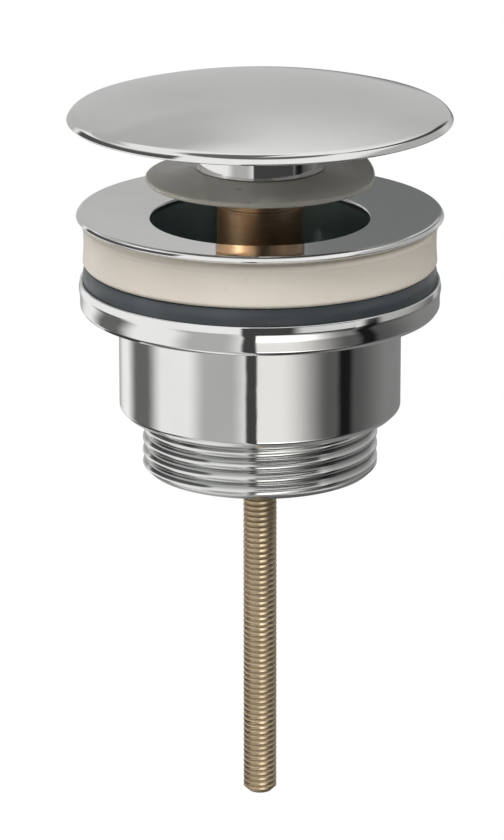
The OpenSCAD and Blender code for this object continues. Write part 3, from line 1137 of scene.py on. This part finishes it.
@dataclass
class Cartridge:
    """Brass cartridge with its latch, and the threaded rod that hangs from it."""

    barrel_r: float = 7.6
    barrel_in_r: float = 6.4
    barrel_top: float = 2.55
    ledge_z: float = -12.579
    floor_z: float = -16.439
    base_z: float = -21.039
    foot_r: float = 8.6
    foot_h: float = 2.0
    foot_neck_h: float = 3.0
    foot_bevel: float = 0.4
    well_r: float = 4.3
    rod_r: float = 3.0
    rod_top: float = -17.439
    rod_bottom: float = -108.339
    rod_gap: float = 0.05
    rod_point: float = 1.0
    rod_pitch: float = 1.0
    rod_groove: float = 0.6
    rod_depth: float = 0.25
    rod_run: float = 0.5
    rod_cuts: tuple[int, int] = (16, 89)
    wire_r: float = 0.35
    wire_sides: int = 12
    coil_r: float = 2.5
    coil_steps: int = 28
    coils: int = 6
    even_pitch: float = 2.0
    spring_low: float = -16.039
    spring_high: float = -5.539
    stroke: float = 6.4

    def build(self, rack: FinishRack) -> None:
        """Models and dresses the cartridge's pieces.

        Args:
            rack: the finishes.
        """
        rack.hang(self.barrel(), Slot.BRASS, Body.CARTRIDGE, "cartridge_barrel")
        rack.hang(self.rod(), Slot.ROD, Body.CARTRIDGE, "threaded_rod")
        spring = rack.hang(self.spring(), Slot.STEEL, Body.CARTRIDGE, "return_spring")
        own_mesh(spring)
        rack.keep("guide_bush", Slot.BRASS)
        rack.keep("stem_o_ring", Slot.RUBBER)
        rack.keep("cam_sleeve", Slot.ACETAL)
        rack.keep("thrust_washer", Slot.ACETAL)
        rack.keep("rod_retainer", Slot.STEEL)

    def barrel(self) -> Piece:
        """Turns the barrel with its well, its foot and the blind hole of the rod.

        Returns:
            The barrel.
        """
        hole_r = self.rod_r + self.rod_gap
        hole_top = self.rod_top + self.rod_gap
        outline = [
            Corner(0.0, self.floor_z),
            Corner(self.well_r, self.floor_z),
            Corner(self.well_r, self.ledge_z),
            Corner(self.barrel_in_r, self.ledge_z),
            Corner(self.barrel_in_r, self.barrel_top, 0.1),
            Corner(self.barrel_r, self.barrel_top, 0.18),
            Corner(self.barrel_r, self.base_z + self.foot_neck_h, 0.3),
            Corner(self.foot_r, self.base_z + self.foot_h, 0.15),
            Corner(self.foot_r, self.base_z + self.foot_bevel, 0.1),
            Corner(self.foot_r - self.foot_bevel, self.base_z, 0.1),
            Corner(hole_r, self.base_z, 0.3),
            Corner(hole_r, hole_top),
            Corner(0.0, hole_top),
        ]
        return polish(Lathe("brass_barrel", outline, steps=128).spin())

    def rod(self) -> Piece:
        """Turns the rod and rolls its fine thread.

        Returns:
            The rod.
        """
        point_r = self.rod_r - self.rod_point
        low = Corner(self.rod_r, self.rod_bottom + self.rod_point)
        high = Corner(self.rod_r, self.rod_top - self.rod_point)
        outline = [
            Corner(0.0, self.rod_bottom),
            Corner(point_r, self.rod_bottom, 0.2),
            low,
            high,
            Corner(point_r, self.rod_top, 0.2),
            Corner(0.0, self.rod_top),
        ]
        thread = Thread(self.rod_r, low.z, high.z, self.rod_pitch, self.rod_depth, self.rod_groove,
                        run_low=self.rod_run, run_high=self.rod_run)
        piece = Lathe("rolled_rod", outline, steps=36).divide(low, high, *self.rod_cuts).spin()
        cut_thread(piece, thread)
        polish(piece, angle=80.0)
        shade_thread(piece, thread)
        return piece

    def spring(self) -> Piece:
        """Winds the return spring evenly, then closes the coils at both ends.

        Returns:
            The spring.
        """
        clear_selection()
        bpy.ops.mesh.primitive_circle_add(
            vertices=self.wire_sides, radius=self.wire_r * MM, fill_type="NOTHING",
            location=(self.coil_r * MM, 0, 0), rotation=(math.pi / 2, 0, 0))
        wire = bpy.context.object
        wire.name = wire.data.name = "coil_spring"
        bpy.ops.object.transform_apply(location=True, rotation=True, scale=True)
        bpy.ops.object.modifier_add(type="SCREW")
        winding = wire.modifiers[-1]
        winding.axis = "Z"
        winding.angle = math.tau
        winding.steps = winding.render_steps = self.coil_steps
        winding.screw_offset = self.even_pitch * MM
        winding.iterations = self.coils
        bpy.ops.object.modifier_apply(modifier=winding.name)
        for vertex in wire.data.vertices:
            turn = math.atan2(vertex.co.y, vertex.co.x) / math.tau
            height = vertex.co.z / MM
            coil = round(height / self.even_pitch - turn) + turn
            vertex.co.z = (self.coil_height(coil) + height - self.even_pitch * coil) * MM
        bpy.ops.object.mode_set(mode="EDIT")
        bpy.ops.mesh.select_all(action="SELECT")
        bpy.ops.mesh.remove_doubles(threshold=TRACE_MERGE)
        bpy.ops.mesh.select_all(action="DESELECT")
        bpy.ops.mesh.select_non_manifold()
        bpy.ops.mesh.edge_face_add()
        bpy.ops.mesh.select_all(action="SELECT")
        bpy.ops.mesh.normals_make_consistent(inside=False)
        bpy.ops.object.mode_set(mode="OBJECT")
        return polish(wire, angle=60.0)

    def coil_height(self, coil: float) -> float:
        """Height of the wire's middle after a number of coils.

        Args:
            coil: number of coils from the lower end.

        Returns:
            The height, in millimetres.
        """
        wire = 2 * self.wire_r
        low, high = self.spring_low, self.spring_high
        if coil < 1:
            return low + wire * coil
        if coil > self.coils - 1:
            return high - wire * (self.coils - coil)
        return low + wire + (high - low - 2 * wire) / (self.coils - 2) * (coil - 1)


@dataclass
class Flange:
    """Dished strainer flange with its tail and spider, and the thick seal under its rim."""

    rim_r: float = 32.5
    rim_h: float = 1.4
    rim_under: float = 0.5
    rim_edge_z: float = 0.48
    rim_bevel: float = 0.55
    rim_drop: float = 0.06
    bore_r: float = 19.4
    face_in_z: float = -0.05
    tail_r: float = 21.6
    tail_z: float = -26.239
    under_z: float = -1.6
    hub_r: float = 8.65
    hub_top: float = -21.839
    hub_low: float = -25.839
    rod_hole_r: float = 3.06
    arm_root: float = 1.0
    arm_end: float = 1.1
    arm_inset: float = 0.4
    seal_r: float = 31.4
    seal_h: float = 8.1
    seal_gap: float = 0.05
    seal_cuts: int = 26
    foot_h: float = 0.5
    foot_in: float = 0.4
    wall_top: float = -1.3
    head_in: float = 0.8
    head_z: float = -0.2
    waist: float = 0.22
    wall_reach: float = 0.02
    nub_turn: float = -20.0
    nub_z: float = -1.7
    nub_r: float = 0.75
    nub_h: float = 0.6

    def build(self, rack: FinishRack) -> None:
        """Models and dresses the flange and its seal."""
        rack.hang(self.body(), Slot.CHROME, Body.FLANGE, "strainer_flange")
        rack.hang(self.seal(), Slot.MILKY, Body.FLANGE, "upper_seal")

    def body(self) -> Piece:
        """Turns rim, dished face and tail, and casts the spider in.

        Returns:
            The flange.
        """
        outline = [
            Corner(self.tail_r, self.tail_z, 0.4),
            Corner(self.tail_r, self.under_z, 0.3),
            Corner(self.seal_r, 0.0),
            Corner(self.rim_r - self.rim_under, 0.0, 0.15),
            Corner(self.rim_r, self.rim_edge_z, 0.14),
            Corner(self.rim_r - self.rim_bevel, self.rim_h - self.rim_drop, 0.45),
            Corner(self.bore_r, self.face_in_z, 0.3),
            Corner(self.bore_r, self.tail_z, 0.4),
        ]
        shell = Lathe("dished_flange", outline, steps=256, rounds=6).spin()
        middle = hub("hub", self.rod_hole_r, self.hub_r, self.hub_low, self.hub_top)
        arms = spider(self.hub_r - self.arm_root, self.bore_r + self.arm_end,
                      self.hub_low + self.arm_inset, self.hub_top - self.arm_inset)
        return polish(weld(shell, middle, *arms))

    def seal(self) -> Piece:
        """Turns the seal ring, draws its wall in a little and leaves its moulding nub.

        Returns:
            The seal.
        """
        low = Corner(self.seal_r, -self.seal_h + self.foot_h, 0.3)
        high = Corner(self.seal_r, self.wall_top, 0.5)
        outline = [
            Corner(self.tail_r + self.seal_gap, -self.seal_h, 0.2),
            Corner(self.seal_r - self.foot_in, -self.seal_h, 0.2),
            low,
            high,
            Corner(self.seal_r - self.head_in, self.head_z, 0.15),
            Corner(self.tail_r + self.seal_gap, self.under_z - self.seal_gap, 0.2),
        ]
        piece = Lathe("milky_ring", outline, steps=256).divide(low, high, self.seal_cuts).spin()
        turn = math.radians(self.nub_turn)
        nub = Vector((self.seal_r * math.cos(turn), self.seal_r * math.sin(turn), self.nub_z))
        for vertex in piece.data.vertices:
            place = vertex.co / MM
            if math.hypot(place.x, place.y) < self.seal_r - self.wall_reach:
                continue
            drawn = math.sin(math.pi * min(1.0, max(0.0, -place.z / self.seal_h)))
            bump = math.exp(-((place - nub).length / self.nub_r) ** 2)
            share = 1.0 + (self.nub_h * bump - self.waist * drawn) / self.seal_r
            vertex.co.x *= share
            vertex.co.y *= share
        return polish(piece, angle=50.0)


@dataclass
class Outlet:
    """Outlet body with collar, bridge and pipe thread, and the gasket in its collar."""

    out_r: float = 20.955
    out_in_r: float = 17.955
    out_z: float = -45.939
    chamfer: float = 1.0
    shoulder_z: float = -35.239
    body_r: float = 25.05
    body_in_r: float = 22.4
    collar_z: float = -16.4
    collar_top: float = -11.15
    collar_r: float = 32.1
    lip_wall: float = 0.7
    lip_taper: float = 0.2
    lip_round_r: float = 0.32
    lip_round_h: float = 0.12
    recess_z: float = -12.25
    flare_low: float = 1.5
    flare_high: float = 0.35
    bridge_top: float = -26.939
    bridge_low: float = -31.539
    boss_r: float = 5.5
    boss_len: float = 10.0
    rod_hole_r: float = 3.06
    arm_root: float = 1.0
    arm_end: float = 1.3
    arm_inset: float = 0.4
    gasket_r: float = 31.35
    gasket_top: float = -8.1
    gasket_bevel: float = 0.5
    gasket_bevel_z: float = -9.625
    pitch: float = 2.309
    groove: float = 2.2
    groove_depth: float = 0.5
    groove_start: float = 0.25
    groove_end: float = 1.6
    thread_cuts: tuple[int, int] = (12, 14)

    def build(self, rack: FinishRack) -> None:
        """Models and dresses the outlet body and its gasket."""
        rack.hang(self.body(), Slot.CHROME, Body.OUTLET, "lower_body")
        rack.hang(self.gasket(), Slot.RUBBER, Body.OUTLET, "lower_gasket")

    def body(self) -> Piece:
        """Turns the body, cuts its pipe thread and casts the bridge in.

        Returns:
            The outlet body.
        """
        wall_r = self.collar_r - self.lip_wall / 3
        lip_in_r = self.collar_r - self.lip_wall
        low = Corner(self.out_r, self.out_z + self.chamfer)
        high = Corner(self.out_r, self.shoulder_z)
        outline = [
            Corner(self.out_in_r, self.out_z, 0.3),
            Corner(self.out_r - self.chamfer, self.out_z, 0.2),
            low,
            high,
            Corner(self.body_r - self.chamfer, self.shoulder_z, 0.15),
            Corner(self.body_r, self.shoulder_z + self.chamfer, 0.3),
            Corner(self.body_r, self.collar_z, 0.25),
            Corner(lip_in_r, self.collar_z, 0.15),
            Corner(wall_r, self.collar_z + self.lip_wall, 0.15),
            Corner(wall_r, self.recess_z - self.flare_low, 0.7),
            Corner(self.collar_r, self.recess_z - self.flare_high, 0.3),
            Corner(self.collar_r - self.lip_taper, self.collar_top - self.lip_round_h, 0.1),
            Corner(self.collar_r - self.lip_round_r, self.collar_top, 0.08),
            Corner(lip_in_r, self.collar_top, 0.1),
            Corner(lip_in_r, self.recess_z),
            Corner(self.body_in_r, self.recess_z, 0.3),
            Corner(self.body_in_r, self.shoulder_z + self.body_in_r - self.out_in_r, 0.8),
            Corner(self.out_in_r, self.shoulder_z, 0.8),
        ]
        thread = Thread(self.out_r, low.z, high.z, self.pitch, self.groove_depth, self.groove,
                        run_low=self.groove_start, run_high=self.groove_end)
        shell = Lathe("outlet_body", outline, steps=256).divide(low, high, *self.thread_cuts).spin()
        cut_thread(shell, thread)
        boss = hub("boss", self.rod_hole_r, self.boss_r, self.bridge_top - self.boss_len, self.bridge_top)
        arms = spider(self.boss_r - self.arm_root, self.body_in_r + self.arm_end,
                      self.bridge_low, self.bridge_top - self.arm_inset)
        piece = polish(weld(shell, boss, *arms), angle=70.0)
        shade_thread(piece, thread)
        return piece

    def gasket(self) -> Piece:
        """Turns the bevelled gasket.

        Returns:
            The gasket.
        """
        outline = [
            Corner(self.body_in_r, self.recess_z, 0.1),
            Corner(self.gasket_r, self.recess_z, 0.05),
            Corner(self.gasket_r, self.gasket_bevel_z, 0.5),
            Corner(self.gasket_r - self.gasket_bevel, self.gasket_top, 0.45),
            Corner(self.body_in_r, self.gasket_top, 0.2),
        ]
        return polish(Lathe("rubber_gasket", outline, steps=256).spin(), angle=50.0)


# Studio


@dataclass(frozen=True)
class Flag:
    """Grey cloth with soft edges that hangs in the white tent, by directions from the part in degrees.

    Azimuth is 0 in front and positive to the right. Soft and fade are the widths of its upright
    and level edges, and lean is how far it climbs for each degree to the right.
    """

    azimuth: float
    half_width: float
    soft: float
    low: float
    high: float
    fade: float
    tone: float
    lean: float = 0.0


@dataclass(frozen=True)
class Baffle:
    """Grey card bent round the part close by: its reach in degrees, and its radius and heights."""

    name: str
    radius: float
    left: float
    right: float
    soft: float
    low: float
    high: float
    fade: float
    tone: float


@dataclass(frozen=True)
class Screen:
    """Lit screen bent round the front of the part: heights and radius, and azimuths in degrees.

    A span is where one of its edges fades in, its upper corner drops, its tone darkens or its
    glow rises.
    """

    radius: float = 300.0
    height: float = 320.0
    middle_z: float = -220.0
    left: Span = (-3.1, -1.6)
    right: Span = (67.0, 60.0)
    top: Span = (-90.7, -91.7)
    corner: Span = (15.0, -5.0)
    corner_drop: float = 3.4
    light: Colour = (1.0, 0.985, 0.96)
    dark: Colour = (0.11, 0.11, 0.11)
    darkening: Span = (14.0, 56.0)
    glow: Span = (-140.0, -165.0)
    most_glow: float = 2.3


@dataclass(frozen=True)
class DarkFlag:
    """Upright dark flag close behind the part: its spans are where its edges fade in."""

    y: float = 50.0
    size: float = 160.0
    tone: Colour = (0.185, 0.195, 0.19)
    left: Span = (-7.0, 11.0)
    right: Span = (60.0, 40.0)
    foot: Span = (-8.0, -2.0)
    head: Span = (21.0, 15.0)


@dataclass(frozen=True)
class Lamp:
    """Square soft lamp: its place and the length of its side, and its power in watts."""

    name: str
    place: Place
    size: float
    power: float


@dataclass(frozen=True)
class Kicker:
    """Narrow spot: its place and aim, its beam in degrees, its radius and its power in watts."""

    place: Place = (-677.0, -423.0, 290.0)
    aim: Place = (-3.0, -2.0, -2.0)
    beam: float = 0.7
    blend: float = 0.4
    radius: float = 3.0
    power: float = 40.0


@dataclass
class Studio:
    """White room with flags and cards that only reflections see, a pale floor, lamps and the camera."""

    distance: float = 844.0
    elevation: float = 17.26
    target_z: float = -37.57
    focal_px: float = 4722.0
    off_axis_px: float = 8.0
    sensor_mm: float = 36.0
    floor_z: float = -400.0
    floor_r: float = 450.0
    floor_tone: Colour = (0.82, 0.82, 0.81)
    floor_patch: Colour = (0.79, 0.79, 0.78)
    floor_patches_per_metre: float = 6.0
    floor_rough: float = 0.7
    fill: float = 0.34
    tent_r: float = 3000.0
    round_steps: int = 96
    screen_card: Screen = Screen()
    flag_card: DarkFlag = DarkFlag()
    spot: Kicker = Kicker()
    flags: tuple[Flag, ...] = (
        Flag(170, 28, 26, -90, 42, 40, 0.55),
        Flag(-145, 32, 16, 28, 45, 6, 0.52),
        Flag(-113, 17, 20, -90, -15.4, 1, 0.15),
        Flag(-156, 14, 8, -9, 29, 5, 0.55),
        Flag(-99, 38, 6, 18.5, 34.5, 4, 0.1, 0.44),
        Flag(-34, 19, 18, -90, -8, 6, 0.5),
        Flag(105, 36, 16, -20, 40, 8, 0.5),
        Flag(127, 27, 8, 33, 47, 5, 0.06, -0.9),
        Flag(100, 42, 16, -90, -8, 8, 0.09),
        Flag(150, 45, 50, -90, -12, 3, 0.25),
        Flag(73, 7, 8, -90, 0, 8, 0.012),
        Flag(25, 36.5, 3, -90, 18, 16, 0.06),
        Flag(45, 22, 10, -3, 8, 3, 0.75),
        Flag(-45, 152, 20, 66, 90, 8, 0.15),
    )
    baffles: tuple[Baffle, ...] = (
        Baffle("barrel_baffle", 120, -6, 62, 4, 22, 66, 6, 0.04),
        Baffle("rod_baffle", 150, -150, -70, 16, -190, -112, 8, 0.06),
        Baffle("rod_veil", 155, -85, -18, 14, -190, -112, 8, 0.45),
    )
    lamps: tuple[Lamp, ...] = (
        Lamp("key_lamp", (-280, -380, 920), 320, 6.0),
        Lamp("fill_lamp", (450, -540, 620), 420, 4.0),
        Lamp("top_lamp", (60, -250, 930), 320, 4.8),
        Lamp("side_lamp", (-860, -270, 240), 320, 3.0),
    )

    def build(self) -> None:
        """Sets up view, room, floor, cards, lamps and camera."""
        bpy.context.scene.view_settings.view_transform = "Standard"
        self.room()
        self.floor()
        self.tent()
        self.screen()
        self.dark_flag()
        for baffle in self.baffles:
            self.baffle(baffle)
        for lamp in self.lamps:
            self.lamp(lamp)
        self.kicker()
        self.camera()

    def room(self) -> None:
        """White room, with an even grey light on what isn't shiny."""
        world = bpy.data.worlds.new("studio_room")
        world.use_nodes = True
        bpy.context.scene.world = world
        graph = Graph(world.node_tree)
        path = graph.add("LightPath").outputs
        clear = graph.math("MAXIMUM", path["Is Camera Ray"], path["Is Transmission Ray"])
        clear = graph.math("MAXIMUM", clear, path["Is Glossy Ray"])
        background = world.node_tree.nodes["Background"]
        graph.feed(background.inputs["Color"], graph.blend(clear, (self.fill,) * 3, WHITE))
        background.inputs["Strength"].default_value = 1.0

    def tent(self) -> None:
        """Hangs the grey flags far round the part."""
        clear_selection()
        bpy.ops.mesh.primitive_uv_sphere_add(segments=64, ring_count=32, radius=self.tent_r * MM)
        graph, glow, mask = self.card("tent_flags")
        place = graph.object_place()
        azimuth, height = self.bearings(graph, place)
        length = graph.add("VectorMath", operation="LENGTH")
        graph.feed(length.inputs[0], place)
        rise = graph.math("ARCSINE", graph.math("DIVIDE", height, length.outputs["Value"]))
        rise = graph.math("DEGREES", rise)
        colour = WHITE
        cover = 0.0
        for flag in self.flags:
            off = graph.math("WRAP", graph.math("SUBTRACT", azimuth, flag.azimuth), 180.0, -180.0)
            level = graph.math("MULTIPLY_ADD", off, -flag.lean, rise)
            share = graph.product(graph.band(off, -flag.half_width, flag.half_width, flag.soft),
                                  graph.band(level, flag.low, flag.high, flag.fade))
            colour = graph.blend(share, colour, (flag.tone,) * 3)
            cover = graph.math("MAXIMUM", cover, share)
        graph.feed(glow, colour)
        graph.feed(mask, graph.math("GREATER_THAN", cover, 0.0))

    @staticmethod
    def bearings(graph: Graph, place: Socket) -> tuple[Socket, Socket]:
        """Where a place on a card lies, seen from the part.

        Args:
            graph: the graph of the card's material.
            place: the place, in Object coordinates.

        Returns:
            The azimuth in degrees, 0 in front and positive to the right, and the height in metres.
        """
        x, y, z = graph.split(place)
        azimuth = graph.math("ARCTAN2", x, graph.math("MULTIPLY", y, -1.0))
        return graph.math("DEGREES", azimuth), z

    def bend_card(self, radius: float, height: float, middle_z: float) -> None:
        """Adds an open ring for a card.

        Args:
            radius: its radius.
            height: its height.
            middle_z: height of its middle.
        """
        clear_selection()
        bpy.ops.mesh.primitive_cylinder_add(
            vertices=self.round_steps, radius=radius * MM, depth=height * MM, end_fill_type="NOTHING",
            location=(0, 0, middle_z * MM))

    def screen(self) -> None:
        """Bends the lit screen low in front; its upper edge shows in the collar."""
        card = self.screen_card
        self.bend_card(card.radius, card.height, card.middle_z)
        graph, glow, mask = self.card("soft_screen")
        azimuth, height = self.bearings(graph, graph.object_place())
        strength = graph.spread(height, card.glow[0] * MM, card.glow[1] * MM, 1.0, card.most_glow)
        graph.feed(glow.node.inputs["Strength"], strength)
        tone = graph.edge(azimuth, card.darkening, unit=1.0, smooth=True)
        graph.feed(glow, graph.blend(tone, card.light, card.dark))
        corner = graph.edge(azimuth, card.corner, unit=1.0, smooth=True)
        level = graph.math("MULTIPLY_ADD", corner, card.corner_drop * MM, height)
        graph.feed(mask, graph.product(graph.edge(azimuth, card.left, unit=1.0),
                                       graph.edge(azimuth, card.right, unit=1.0),
                                       graph.edge(level, card.top, smooth=True)))

    def baffle(self, baffle: Baffle) -> None:
        """Bends a grey card round the part.

        Args:
            baffle: the card.
        """
        self.bend_card(baffle.radius, baffle.high - baffle.low + 2 * baffle.fade,
                       (baffle.low + baffle.high) / 2)
        graph, glow, mask = self.card(baffle.name)
        azimuth, height = self.bearings(graph, graph.object_place())
        graph.feed(glow, (baffle.tone,) * 3)
        side = graph.band(azimuth, baffle.left, baffle.right, baffle.soft)
        level = graph.band(height, baffle.low * MM, baffle.high * MM, baffle.fade * MM)
        graph.feed(mask, graph.product(side, level))

    def dark_flag(self) -> None:
        """Stands the dark flag behind on the right, where it shades one half of the dished face."""
        card = self.flag_card
        clear_selection()
        bpy.ops.mesh.primitive_plane_add(size=card.size * MM, location=(0, card.y * MM, 0),
                                         rotation=(math.pi / 2, 0, 0))
        graph, glow, mask = self.card("dark_flag")
        x, _, z = graph.split(graph.object_place())
        graph.feed(glow, card.tone)
        edges = ((x, card.left), (x, card.right), (z, card.foot), (z, card.head))
        shares = [graph.edge(value, span, smooth=True) for value, span in edges]
        graph.feed(mask, graph.product(*shares))

    @staticmethod
    def card(name: str) -> tuple[Graph, Socket, Socket]:
        """Makes the new mesh a glowing card that only reflections see.

        Args:
            name: name of the card.

        Returns:
            The graph of its material, the socket of its glow and the socket of its mask.
        """
        obj = bpy.context.object
        obj.name = obj.data.name = name
        bpy.ops.object.transform_apply(location=True, rotation=True, scale=True)
        obj.visible_camera = obj.visible_diffuse = obj.visible_shadow = obj.visible_transmission = False
        material = bpy.data.materials.new(name)
        material.use_nodes = True
        graph = Graph(material.node_tree)
        graph.tree.nodes.remove(graph.tree.nodes["Principled BSDF"])
        glow = graph.add("Emission")
        mask = graph.show(graph.add("BsdfTransparent").outputs[0], glow.outputs[0])
        obj.data.materials.append(material)
        return graph, glow.inputs["Color"], mask

    def floor(self) -> None:
        """Lays the pale round floor well below the hanging rod, clear from underneath."""
        clear_selection()
        bpy.ops.mesh.primitive_circle_add(vertices=self.round_steps, radius=self.floor_r * MM,
                                          fill_type="NGON", location=(0, 0, self.floor_z * MM))
        floor = bpy.context.object
        floor.name = floor.data.name = "pale_floor"
        paint = Paint("pale_floor")
        patches = paint.effect(EFFECTS.mottle, self.floor_patches_per_metre)["Patches"]
        paint.set(Base_Color=paint.blend(patches, self.floor_tone, self.floor_patch),
                  Roughness=self.floor_rough)
        underside = paint.show(paint.shader.outputs[0], paint.add("BsdfTransparent").outputs[0])
        paint.feed(underside, paint.add("NewGeometry").outputs["Backfacing"])
        floor.data.materials.append(paint.material)
        floor.visible_glossy = False

    def lamp(self, lamp: Lamp) -> None:
        """Hangs a soft lamp that points at the part and stays out of its reflections.

        Args:
            lamp: the lamp.
        """
        light = bpy.data.lights.new(lamp.name, "AREA")
        light.shape = "SQUARE"
        light.size = lamp.size * MM
        light.energy = lamp.power
        self.hang(light, Vector(lamp.place), Vector()).visible_glossy = False

    def kicker(self) -> None:
        """Aims the narrow spot past the rim at the barrel, for the streak of light on its brass."""
        spot = self.spot
        light = bpy.data.lights.new("barrel_kicker", "SPOT")
        light.spot_size = math.radians(spot.beam)
        light.spot_blend = spot.blend
        light.shadow_soft_size = spot.radius * MM
        light.energy = spot.power
        self.hang(light, Vector(spot.place), Vector(spot.aim)).visible_diffuse = False

    @staticmethod
    def hang(light: bpy.types.Light, place: Vector, target: Vector) -> Piece:
        """Puts a lamp at its place and points it at its target.

        Args:
            light: the lamp's data.
            place: its place, in millimetres.
            target: where it points, in millimetres.

        Returns:
            The lamp.
        """
        obj = bpy.data.objects.new(light.name, light)
        bpy.context.scene.collection.objects.link(obj)
        obj.location = place * MM
        obj.rotation_euler = (target - place).to_track_quat("-Z", "Y").to_euler()
        obj.visible_camera = False
        return obj

    def camera(self) -> None:
        """Sets the camera at the photograph's angle."""
        data = bpy.data.cameras.new("front_camera")
        data.sensor_fit = "VERTICAL"
        data.sensor_height = self.sensor_mm
        data.lens = self.sensor_mm * self.focal_px / IMAGE_HEIGHT_PX
        data.shift_x = -self.off_axis_px / IMAGE_HEIGHT_PX
        camera = bpy.data.objects.new("front_camera", data)
        bpy.context.scene.collection.objects.link(camera)
        rise = math.radians(self.elevation)
        back = Vector((0.0, -math.cos(rise), math.sin(rise)))
        camera.location = (back * self.distance + Vector((0, 0, self.target_z))) * MM
        camera.rotation_euler = (-back).to_track_quat("-Z", "Y").to_euler()
        bpy.context.scene.camera = camera


def main() -> None:
    """Builds the studio and the sub-assemblies in order."""
    logging.basicConfig(level=logging.INFO, format="%(name)s: %(message)s")
    Studio().build()
    rack = FinishRack()
    for assembly in (Plug(), Cartridge(), Flange(), Outlet()):
        assembly.build(rack)


if __name__ == "__main__":
    main()
